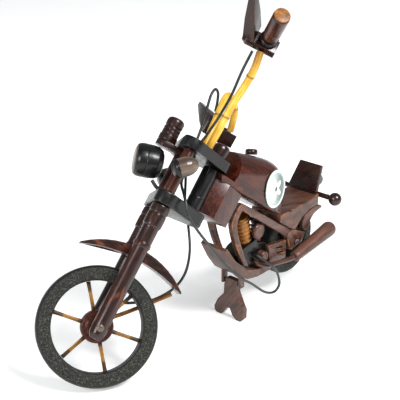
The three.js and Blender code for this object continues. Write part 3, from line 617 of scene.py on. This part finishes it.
# ------------------------------------------------------------------ wheels
def wheel(prefix, place, body, radius, rim, width, hub_radius, hub_half, bore):
    half = width / 2
    profile = [(rim, -half), (radius - 1.2, -half), (radius, -half + TYRE_SHOULDER),
               (radius, half - TYRE_SHOULDER),
               (radius - 1.2, half), (rim, half), (rim - 0.25, 0), (rim, -half)]
    mesh = lathe_mesh(prefix + "_tyre_look", profile, 1.1, 128, closed=False)
    side = mesh.attributes.new("side", "FLOAT", "POINT").data
    for item, vert in zip(side, mesh.vertices):
        item.value = 1.0 if abs(vert.co.z) > (half - 0.3) * MM else 0.0
    finish_piece(prefix + "_tyre_look", mesh, place @ TO_LEFT, body, "tyre", [prefix + "_tyre"], 60, Matrix())
    h = hub_half
    outside = [(hub_radius - 3, -h), (hub_radius - 2.6, -h + 0.6), (hub_radius - 0.6, -h + 0.6),
               (hub_radius, -h + 1.4), (hub_radius, -1.4), (hub_radius + 0.3, -1.2)]
    outside += [(r, -z) for r, z in reversed(outside)]
    hub = [(bore, -h), *outside, (bore, h), (bore, -h)]
    turn(prefix + "_hub_look", hub, place @ TO_LEFT, body, "mahogany", [prefix + "_hub_and_spokes"], 0.3, 72)
    spoke = [(0, hub_radius - 1), (1.25, hub_radius - 1), (1.05, hub_radius + 3),
             (0.95, 0.5 * (hub_radius + rim)),
             (1.1, rim - 1.6), (1.25, rim - 0.35), (0, rim - 0.35)]
    one = lathe_mesh(prefix + "_spoke", spoke, 0.2, 20)
    inner, outer = (hub_radius - 1) * MM, (rim - 0.35) * MM
    one.attributes.new("grain", "FLOAT_VECTOR", "POINT")
    one.attributes.new("char", "FLOAT", "POINT")
    grain, char = one.attributes["grain"].data, one.attributes["char"].data    # only once both are there
    for item, burn, vert in zip(grain, char, one.vertices):
        item.vector = (vert.co.z, vert.co.x, vert.co.y)
        share = (vert.co.z - inner) / (outer - inner)
        burn.value = max(0.0, 1 - share / 0.16, 1 - (1 - share) / 0.14)
    ring = bake(prefix + "_spokes_look", spoke_ring, one,
                {"Count": SPOKE_COUNT, "Phase": SPOKE_PHASE, "Finish": finish["spoke"][0]})
    ring.materials.clear()
    finish_piece(prefix + "_spokes_look", ring, place, body, "spoke", [prefix + "_hub_and_spokes"], 40)


wheel("front", front_wheel_frame, "front_wheel", 33, 24.9, 11.5, 8.8, 4.5, 2.3)
wheel("rear", rear_wheel_frame, "rear_wheel", 22.7, 15.5, 12, 6, 4.5, 2.3)


def pin(name, half, place, body, nodes, radius=2.0):
    profile = [(0, -half - 0.2), (radius * 0.6, -half - 0.15), (radius, -half + 0.3), (radius, half - 0.3),
               (radius * 0.6, half + 0.15), (0, half + 0.2)]
    turn(name, profile, place @ TO_LEFT, body, "dowel", nodes, 0.2, 40)


pin("front_axle_look", 21.4, spot(steer_frame, *front_axle), "steering", ["front_axle"])
pin("rear_axle_look", 11, rear_wheel_frame, "frame", ["rear_axle"])
pin("stand_pin_look", 7.6, spot(bike_frame, *STAND_PIN), "frame", ["stand_pin"], 1.1)

# ------------------------------------------------------------------ fork and clamps
AXLE_X, AXLE_Z = front_axle.x, front_axle.z
LEG_Y = 16.4
leg = [(0, AXLE_Z - 6.5), (2.6, AXLE_Z - 6.3), (4.2, AXLE_Z - 4), (4.5, AXLE_Z - 1), (4.4, 60), (4.4, 77.6),
       (4.9, 78.2),
       (4.9, 79.9), (4.5, 80.5), (4.5, 89.8), (5.2, 90.6), (5.2, 97), (4.9, 97.3), (4.9, 98), (5.2, 98.3),
       (5.1, 102.2), (4.6, 102.8), (0, 102.8)]
upper = [(0, 110.8), (3.3, 110.8), (3.2, 120), (3.3, 136.7), (0, 136.7)]
for name, side in (("left", 1), ("right", -1)):
    turn(f"fork_leg_{name}_look", leg, spot(steer_frame, AXLE_X, side * LEG_Y, 0), "steering", "streaked",
         [f"fork_leg_{name}"], 0.5)
    turn(f"fork_tube_{name}_look", upper, spot(steer_frame, AXLE_X, side * LEG_Y, 0), "steering", "mahogany",
         [f"fork_tube_{name}"], 0.2)
for node in ("lower_clamp", "upper_clamp"):
    carry(node, "steering", "black", 0.9, 3)
turn("stem_look", [(0, 110.8), (2.6, 110.8), (2.6, 136.7), (0, 136.7)], steer_frame, "steering", "dowel",
     ["steering_stem"])
turn("stem_nut_look", [(0, 143.3), (4.4, 143.3), (5, 144.4), (5, 149), (4.6, 150.6), (3.2, 151.5),
                       (0, 151.7)],
     steer_frame, "steering", "dark", ["stem_nut"], 0.6)
turn("head_tube_look", [(2.9, 111.1), (4.4, 111.1), (4.6, 111.6), (4.6, 118), (4.4, 118.4), (4.6, 118.8),
                        (4.6, 135.8),
                        (4.4, 136.4), (2.9, 136.4), (2.9, 111.1)], steer_frame, "frame", "black",
                        ["head_tube"], 0.25)

# ------------------------------------------------------------------ lamps and gauge
lamp_turn = Matrix.Rotation(math.radians(106), 4, "Y")
lamp = [(0, -8.2), (5.2, -8.2), (7.4, -7.2), (8.9, -5), (9.35, -2), (9.45, 1.2), (9.25, 1.5), (9.45, 1.8),
        (9.45, 3.4),
        (9.3, 5.4), (8.3, 7.3)]
lamp_face = [(0, 5.2), (8.35, 5.2), (8.35, 6.7), (7.6, 7.5), (6.2, 8.0), (0, 8.4)]
lamp_place = spot(steer_frame, 33.6, 0, 123.4, lamp_turn)
turn("headlight_look", lamp + [(0, 7.3)], lamp_place, "steering", "black", ["headlight"], 0.5, 80)
turn("headlight_face", lamp_face, lamp_place, "steering", "smoke", ["headlight"], 0.5, 80)
swept("headlight_stalk_look", [(27.0, 0, 115), (23.6, 0, 113),
                               (20.4, 0, 111.9)], steer_frame, "steering", "cable",
      ["headlight_stalk"], lambda run: 1.05)
gauge = [(0, 137.7), (5, 137.7), (5.25, 138.2), (5.25, 141.2), (4.8, 141.7), (4.9, 142.2), (4.9, 144),
         (4.6, 144.2),
         (4.9, 144.4), (4.95, 146), (4.5, 146.3), (4.5, 146.6), (5, 146.9), (5, 150), (4.6, 151.3),
         (3.4, 152.1), (0, 152.4)]
turn("speedometer_look", gauge, spot(steer_frame, 29.6, 0, 0), "steering", "dark", ["speedometer"], 0.3)
carry("gauge_bracket", "steering", "dark", 0.5)
bullet = [(0, -3.0), (5.3, -3.0), (5.4, -1.2), (5.4, 1.4), (4.9, 4), (3.8, 6.2), (2, 7.8), (0, 8.4)]
bullet_face = [(0, -6), (2.2, -6), (3.4, -5.9), (4.8, -5.1), (5.3, -3.9), (5.3, -3.2), (0, -3.2)]
signal_turn = Matrix.Rotation(math.radians(-48), 4, "Y")
for name, side in (("left", 1), ("right", -1)):
    place = spot(steer_frame, AXLE_X, side * 26, 125, signal_turn)
    turn(f"front_signal_{name}_look", bullet, place, "steering", "smoke", [f"front_signal_{name}"], 0.5)
    turn(f"front_signal_{name}_face", bullet_face, place, "steering", "black", [f"front_signal_{name}"], 0.5)
    turn(f"front_signal_{name}_arm", [(0, 0), (1.9, 0), (1.6, 1), (1.7, 4), (0, 4)],
         spot(steer_frame, AXLE_X, side * 19.9, 125, TO_LEFT if side > 0 else TO_RIGHT), "steering", "dark",
         [f"front_signal_{name}"], 0.2, 24)

# ------------------------------------------------------------------ fender, handlebars, levers, grips
carry("front_fender", "steering", "streaked", 1.6, 4, 50)
swept("fender_stay_look", [(AXLE_X - 0.8, -10.6, AXLE_Z + 2.4), (AXLE_X - 14, -10.6, AXLE_Z + 16),
                           (AXLE_X - 30, -7.35, AXLE_Z + 34.4)], steer_frame, "steering", "honey",
                           ["fender_stay"],
      lambda run: 1.15)


def knots(*places):
    """Marks round the cane at these lengths in millimetres."""
    return lambda run, total: max(math.exp(-((run - p) / 0.55) ** 2) for p in places)


def cane_radius(*places):
    return lambda run: 2.15 + max(0.28 * math.exp(-((run / MM - p) / 1.0) ** 2) for p in places) - 0.5 * run


left_bar = [(7.8, 8, 143.3), (7.8, 8, 145), (7.8, 10.6, 151), (7.9, 14, 158.5), (8.1, 18, 169.5),
            (7.2, 23, 182),
            (7.6, 28.6, 190), (8.6, 31.2, 195.2), (9.2, 31.3, 199.05)]
right_bar = [(8, -8, 143.3), (8, -8, 145), (8.4, -10.6, 155), (8.7, -14, 167), (8.9, -19, 179),
             (7.2, -24.6, 185),
             (2.4, -29.4, 184.6), (-2, -33, 179), (-4.4, -37, 172.5), (-4.9, -38.2, 169.8)]
swept("handlebar_left_look", left_bar, steer_frame, "steering", "cane", ["handlebar_left"],
      cane_radius(21, 47), 24, 10,
      {"knot": knots(21, 47), "scorch": lambda run, total: max(0.0, min(1.0, (run - total + 13) / 8))})
swept("handlebar_right_look", right_bar, steer_frame, "steering", "cane", ["handlebar_right"],
      cane_radius(26, 58), 24, 10,
      {"knot": knots(26, 58), "scorch": lambda run, total: max(0.0, min(1.0, (run - total + 8) / 8))})
carry("lever_left", "steering", "dark", 0.6)
carry("lever_right", "steering", "dark", 0.6)
tilt = math.radians(16)
hand_frames = {
    "left": (spot(steer_frame, 7, 31.6, 204.2) @ Matrix.Rotation(math.radians(-6), 4, "Z")
             @ Matrix.Rotation(tilt, 4, "X")),
    "right": spot(steer_frame, -5, -40.6, 165.6) @ Matrix.Rotation(-tilt, 4, "X"),
}
collar = [(0, 0), (4.9, 0), (5.2, 0.5), (5.2, 2.4), (4.7, 2.9), (0, 2.9)]
grip_body = [(0, 3.1), (4.2, 3.1), (4.4, 5), (4.65, 5.8), (4.65, 10), (4.5, 10.3), (4.65, 10.6),
             (4.7, 23.4), (4.4, 24.2),
             (0, 24.2)]
grip_end = [(0, 24.35), (4.2, 24.35), (4.5, 24.7), (4.3, 25.2), (0, 25.5)]
for name, side, way in (("left", 1, TO_LEFT), ("right", -1, TO_RIGHT)):
    offset = (1.2, 2.8, 1.6) if side > 0 else (1.6, -2.8, 0)
    place = hand_frames[name] @ Matrix.Translation(Vector(offset) * MM) @ way
    turn(f"grip_{name}_collar", collar, place, "steering", "black", [f"grip_{name}"])
    turn(f"grip_{name}_look", grip_body, place, "steering", "mahogany", [f"grip_{name}"])
    turn(f"grip_{name}_end", grip_end, place, "steering", "honey", [f"grip_{name}"])

# ------------------------------------------------------------------ frame, tank and seat
for name in ("left", "right"):
    carry(f"frame_board_{name}", "frame", "brown", 0.6)
    carry(f"rear_plate_{name}", "frame", "brown", 0.6)
    carry(f"rear_stay_{name}", "frame", "brown", 0.7)
carry("cradle", "frame", "brown", 0.5)
carry("head_block", "frame", "mahogany", 0.9)
carry("fuel_tank", "frame", "mahogany", 1.2, 4, 50)
carry("seat", "frame", "brown", 1.1, 4)
carry("backrest", "frame", "dark", 0.5)
carry("tail_lamp", "frame", "brown", 0.5)
carry("tank_cap", "frame", "dark", 0.4)
carry("engine_case", "frame", "black", 0.5)
carry("gearbox_cover", "frame", "brown", 0.5)
carry("centre_stand", "centre_stand_arm", "brown", 0.7, 3)

finish["emblem"] = (emblem_finish(0.0088, 0.0118),)
badge = lathe_mesh("emblem", [(0, -0.4), (1, -0.4), (1, 0.3), (0.93, 0.42), (0, 0.5)], 0.05, 96)
badge.transform(Matrix.Diagonal((8.8, 11.8, 1, 1)))
finish_piece("tank_emblem_look", badge, spot(bike_frame, 38.6, 15.3, 82, TO_LEFT), "frame", "emblem",
             ["tank_emblem"], 40, Matrix())

turn("signal_bar_look", [(0, -15.8), (1.6, -15.8), (1.6, -8), (1.9, -7), (1.9, 7), (1.6, 8), (1.6, 15.8),
                         (0, 15.8)],
     spot(bike_frame, -13.8, 0, 60.9, TO_LEFT), "frame", "dark", ["signal_bar"], 0.3, 32)
ball = [(0, 0), (1.9, 0), (1.4, 1.8), (1.9, 2.4), (2.7, 2.9), (3.6, 3.9), (4.15, 5.4), (4.2, 6.6),
        (3.7, 8.1), (2.6, 9.4),
        (1.2, 10.1), (0, 10.3)]
for name, side, way in (("left", 1, TO_LEFT), ("right", -1, TO_RIGHT)):
    turn(f"rear_signal_{name}_look", ball, spot(bike_frame, -13.8, side * 16.1, 60.9, way), "frame", "dark",
         [f"rear_signal_{name}"], 0.5)


# ------------------------------------------------------------------ engine and exhausts
def along(start, end):
    """A place at start whose Z runs towards end, in the bike's millimetres."""
    a, b = Vector(start), Vector(end)
    return bike_frame @ Matrix.Translation(a * MM) @ (b - a).to_track_quat("Z", "Y").to_matrix().to_4x4()


def fins(low_radius, high_radius, length, count):
    profile = [(0, 0), (low_radius, 0)]
    pitch = length / count
    for i in range(count):
        radius = low_radius + (high_radius - low_radius) * i / (count - 1)
        low = i * pitch
        profile += [(radius, low + 0.5 * pitch), (radius - 0.9, low + 0.6 * pitch),
                    (radius - 0.9, low + 0.9 * pitch)]
        if i + 1 < count:
            profile.append((radius, low + pitch))
    return profile + [(0, length - 0.1 * pitch)]


turn("cylinder_front_look", fins(5, 6.1, 18, 6), along((48.7, 0, 48.1), (53.5, 0, 65.3)), "frame", "honey",
     ["cylinder_front"], 0.25)
turn("cylinder_rear_look", fins(4.3, 4.7, 12, 5), along((38.4, 0, 44.9), (34.6, 0, 56)), "frame", "mahogany",
     ["cylinder_rear"], 0.25)
turn("air_cleaner_look", [(0, 0), (4.8, 0), (5, 0.4), (5, 1.6), (4.2, 2.3), (3.6, 2.3), (3.3, 2.0),
                          (1.2, 2.1), (1, 2.4),
                          (0, 2.4)], spot(bike_frame, 43.9, 6.4, 54.2, TO_LEFT),
                          "frame", "brown", ["air_cleaner"], 0.2)
turn("crank_cover_look", [(0, 0), (3.3, 0), (3.3, 3.8), (2.7, 4.6), (1.6, 4.6), (1.4, 4.3), (0, 4.4)],
     spot(bike_frame, 40.8, 6.4, 37.4, TO_LEFT), "frame", "brown", ["crank_cover"], 0.3)
MUFFLER_LENGTH = 40.5
MUFFLER_Y = 15.4
muffler = [(0, 0), (2.6, 0), (3.2, 0.5), (3.3, 1.6), (3.45, 2.2), (4.0, 0.35 * MUFFLER_LENGTH),
           (4.55, 0.7 * MUFFLER_LENGTH), (4.9, MUFFLER_LENGTH - 4.6), (4.7, MUFFLER_LENGTH - 2.6),
           (3.7, MUFFLER_LENGTH - 0.9), (2, MUFFLER_LENGTH - 0.1), (0, MUFFLER_LENGTH)]
for name, side in (("left", 1), ("right", -1)):
    turn(f"muffler_{name}_look", muffler, along((17.4, side * MUFFLER_Y, 30),
                                                (-20, side * MUFFLER_Y, 37.2)), "frame", "brown",
         [f"muffler_{name}"], 0.8)
    pipe = [(46, 6.4, 35), (46, 7.6, 34.9), (45, 9.4, 33.4), (41, 12, 31.8), (32, 13.6, 31),
            (24, MUFFLER_Y - 0.4, 30.2),
            (18, MUFFLER_Y, 30)]
    swept(f"exhaust_pipe_{name}_look", [(x, side * y, z) for x, y, z in pipe], bike_frame, "frame", "brown",
          [f"exhaust_pipe_{name}"], lambda run: 1.45)

# ------------------------------------------------------------------ cables
def cable_radius(run):
    return 0.78


brake = [(10.5, -19.9, 171.5), (12, -19.4, 177), (14.2, -18, 181.6), (16.7, -16.5, 182.4), (17.6, -15, 178),
         (16.4, -13.4, 169.5), (14.8, -11, 160), (13.9, -8.6, 150), (13.9, -8, 145), (13.9, -8, 134),
         (9.6, -10, 127), (5, -13.4, 118.6), (0.6, -15, 110.6), (-5, -14.4, 103.4), (-11.4, -12.6, 92),
         (-14.8, -12.6, 81), (-14.4, -13, 72), (-11, -13, 64.4), (-5, -13, 57), (3.6, -13.6, 51),
         (11.4, -15.4, 47)]
swept("brake_cable_look", brake, steer_frame, "steering", "cable", ["brake_cable"], cable_radius, 16, 10)
clutch_upper = [(13, 28.6, 198.6), (12.6, 25, 187), (10.6, 15, 174.6), (10.4, 7, 163), (11.6, 4.2, 151),
                (12.4, 4, 146),
                (12.4, 4, 134), (13, 9, 121), (9.6, 16, 114), (6.6, 19, 109.6), (2.4, 18.4, 104.4)]
clutch_lower = [(103.6, 12.6, 76.6), (93, 13, 62.8), (81.4, 13.4, 48), (68.6, 14, 35), (57, 14, 26.2),
                (44.4, 14, 15.8),
                (35, 14, 12.2), (30.6, 14.4, 16), (34.4, 15.4, 25.6), (40.6, 15.6, 33), (44.8, 13, 37.2),
                (46.8, 10, 39.6), (47, 6.7, 40.2)]
upper_line = [steer_frame @ (Vector(p) * MM) for p in clutch_upper]
lower_line = [bike_frame @ (Vector(p) * MM) for p in clutch_lower]
clutch_line = curve_points(upper_line + lower_line, 10)
clutch_mesh, _ = sweep_mesh("clutch_cable_look", clutch_line, cable_radius)
clutch = finish_piece("clutch_cable_look", clutch_mesh, Matrix(), None, "cable", ["clutch_cable"], 50)
tuple(lower_line[2])
tuple(upper_line[6])
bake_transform(clutch)

# ------------------------------------------------------------------ studio
bpy.ops.mesh.primitive_plane_add(size=6, location=(0, 0, 0))
floor = bpy.context.object
floor.name = "floor"
floor_tree = Tree("floor_paper")
coords = Sock(floor_tree, floor_tree.add("ShaderNodeTexCoord").outputs["Object"])
fibre = floor_tree.noise(coords, 30.0, 3.0)
paper = floor_tree.mix(fibre, (0.86, 0.86, 0.85), (0.9, 0.9, 0.895))
floor_tree.set("Base Color", paper)
floor_tree.set("Roughness", fibre.step(0.3, 0.7, 0.8, 0.9))
floor_tree.set("Specular IOR Level", 0.1)
floor_tree.set("Emission Color", paper)
floor_tree.set("Emission Strength", 0.42)
floor.data.materials.append(floor_tree.material)

world = bpy.data.worlds.new("studio")
scene.world = world
world.use_nodes = True
background = world.node_tree.nodes["Background"]
background.inputs["Color"].default_value = (0.9, 0.95, 1.0, 1.0)
background.inputs["Strength"].default_value = 0.35


def area(name, place, aim, size, power, size_y=None):
    data = bpy.data.lights.new(name, "AREA")
    data.energy = power
    data.size = size
    if size_y:
        data.shape = "RECTANGLE"
        data.size_y = size_y
    light = bpy.data.objects.new(name, data)
    scene.collection.objects.link(light)
    light.location = place
    light.rotation_euler = (Vector(aim) - Vector(place)).to_track_quat("-Z", "Y").to_euler()


area("key", (-0.1, 0.9, 1.1), (0, 0, 0.08), 0.45, 24)
area("front", (1.1, 0.1, 0.7), (0, 0, 0.08), 0.4, 9)
scene.view_settings.view_transform = "Standard"
